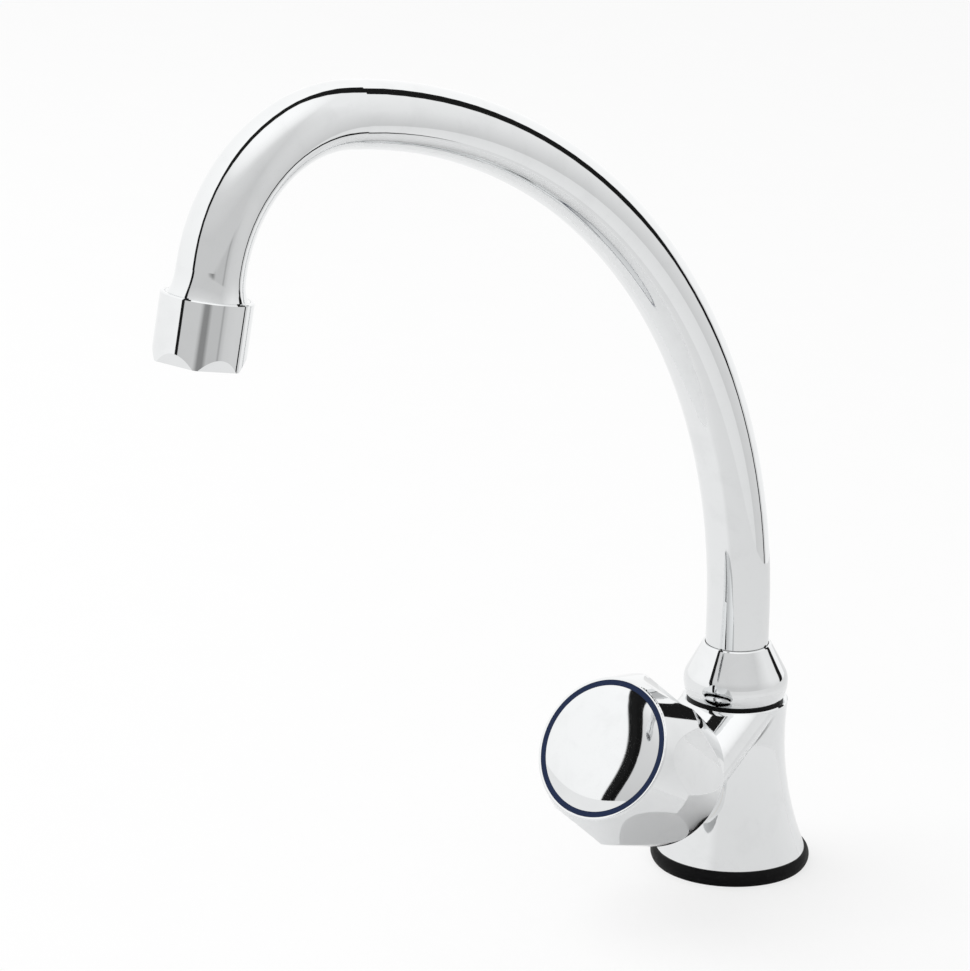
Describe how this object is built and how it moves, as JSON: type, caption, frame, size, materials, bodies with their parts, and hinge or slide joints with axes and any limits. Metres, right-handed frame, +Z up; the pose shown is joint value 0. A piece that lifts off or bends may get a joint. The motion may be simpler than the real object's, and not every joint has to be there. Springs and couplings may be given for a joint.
{
  "type": "kitchen tap",
  "caption": "Single cold-water pillar tap: flared upright body, inclined scalloped knob and a tall swivelling swan-neck spout with a screwed outlet.",
  "frame": {"origin": "middle of the base at worktop level, on the body's upright axis", "axes": "+Z up; the knob's inclined axis lies in the YZ plane and points to the front (-Y) and up; at rest the spout reaches to the front, swung 10.4 degrees to -X"},
  "size_m": [0.0715, 0.2272, 0.2504],
  "materials": {
    "chrome": "polished",
    "brass": "machined",
    "black_rubber": "matt",
    "seal_rubber": "matt",
    "cold_blue": "glossy",
    "white_plastic": "satin",
    "steel": "brushed"
  },
  "bodies": {
    "tap": {"tap_body": "chrome", "base_gasket": "black_rubber", "nut_ring": "black_rubber", "spout_nut": "chrome", "slip_washer": "white_plastic", "glide_ring": "white_plastic", "bonnet": "brass", "bonnet_seal": "seal_rubber"},
    "spout": {"spout_foot": "brass", "spout_o_rings": "seal_rubber", "spout_tube": "chrome", "outlet_sleeve": "chrome", "aerator_shell": "chrome", "aerator_seal": "seal_rubber", "aerator_insert": "white_plastic", "jet_plate": "white_plastic", "aerator_screens": "steel"},
    "handle": {"handle": "chrome", "handle_screw": "steel", "cold_ring": "cold_blue", "handle_cap": "chrome", "spindle": "brass", "spindle_o_rings": "seal_rubber", "spindle_clip": "steel"},
    "piston": {"valve_piston": "brass", "valve_washer": "seal_rubber", "washer_screw": "brass"}
  },
  "joints": [
    {"name": "spout_swivel", "type": "hinge", "parent": "tap", "child": "spout", "pos_m": [0, 0, 0.058], "axis": [0, 0, 1], "continuous": true},
    {"name": "handle_turn", "type": "hinge", "parent": "tap", "child": "handle", "pos_m": [0, 0, 0.0143], "axis": [0, -0.8594, 0.5113], "range_deg": [0, 900]},
    {"name": "piston_lift", "type": "slide", "parent": "tap", "child": "piston", "axis": [0, -0.8594, 0.5113], "range_m": [0, 0.00375]}
  ],
  "couplings": [
    {"joint": "piston_lift", "follows": "handle_turn", "m_per_rad": 0.00023873}
  ]
}
